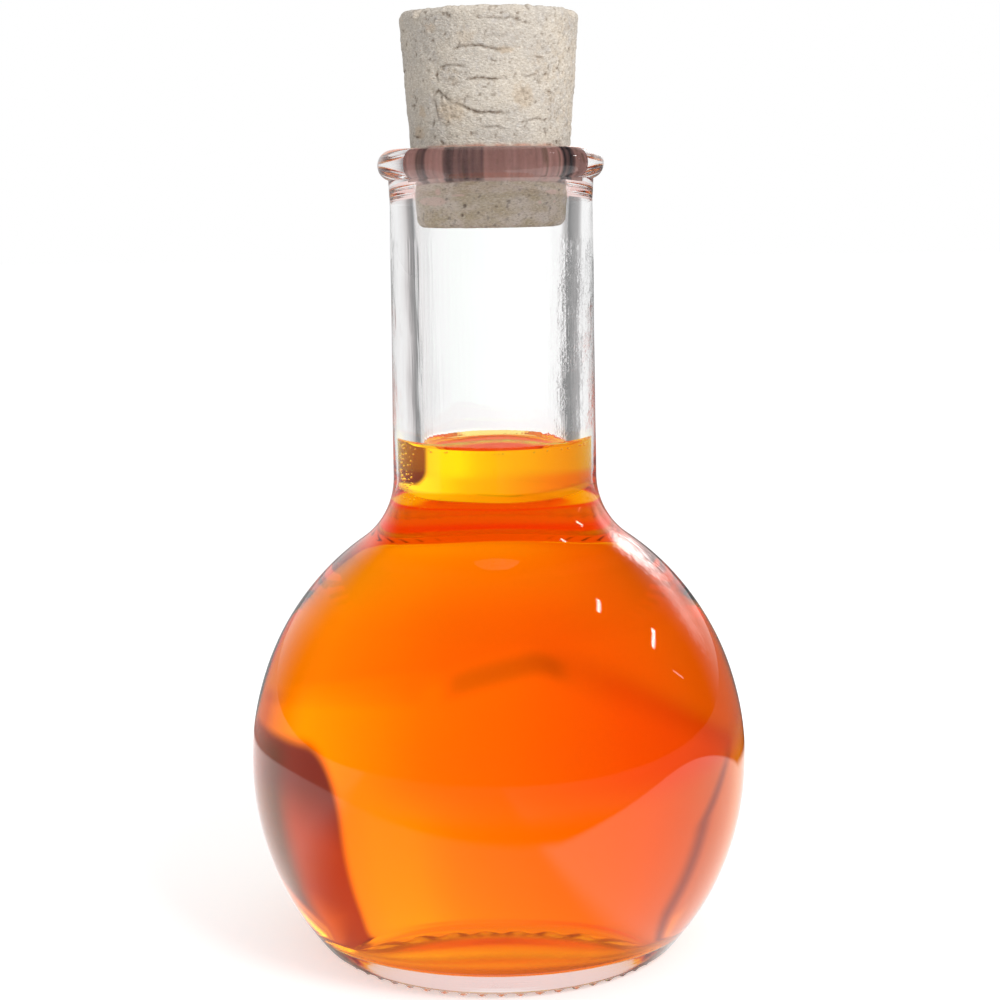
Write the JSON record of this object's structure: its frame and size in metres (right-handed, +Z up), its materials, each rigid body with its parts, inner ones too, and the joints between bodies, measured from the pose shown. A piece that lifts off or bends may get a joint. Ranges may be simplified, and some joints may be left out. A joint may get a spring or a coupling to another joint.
{
  "type": "corked glass bottle",
  "caption": "Small round-bodied clear glass bottle with a straight neck and rolled lip, filled with orange liquid and closed by a tapered natural cork.",
  "frame": {"origin": "on the bottle's axis, in the plane that its knurled bearing ring stands on", "axes": "+Z up along the bottle's axis, towards the cork; -Y is the side that faces the viewer; the bottle is round, so X is any sideways direction"},
  "size_m": [0.061, 0.061, 0.113],
  "materials": {
    "clear_glass": "smooth, slightly wavy blown glass",
    "orange_liquid": "clear deep orange liquid",
    "natural_cork": "dry, pale natural cork, pitted"
  },
  "bodies": {
    "bottle": {"glass_bottle": "clear_glass", "liquid_fill": "orange_liquid"},
    "cork": {"cork_stopper": "natural_cork"}
  },
  "joints": [
    {"name": "cork_pull", "type": "slide", "parent": "bottle", "child": "cork", "axis": [0, 0, 1], "range_m": [0, 0.032]}
  ]
}
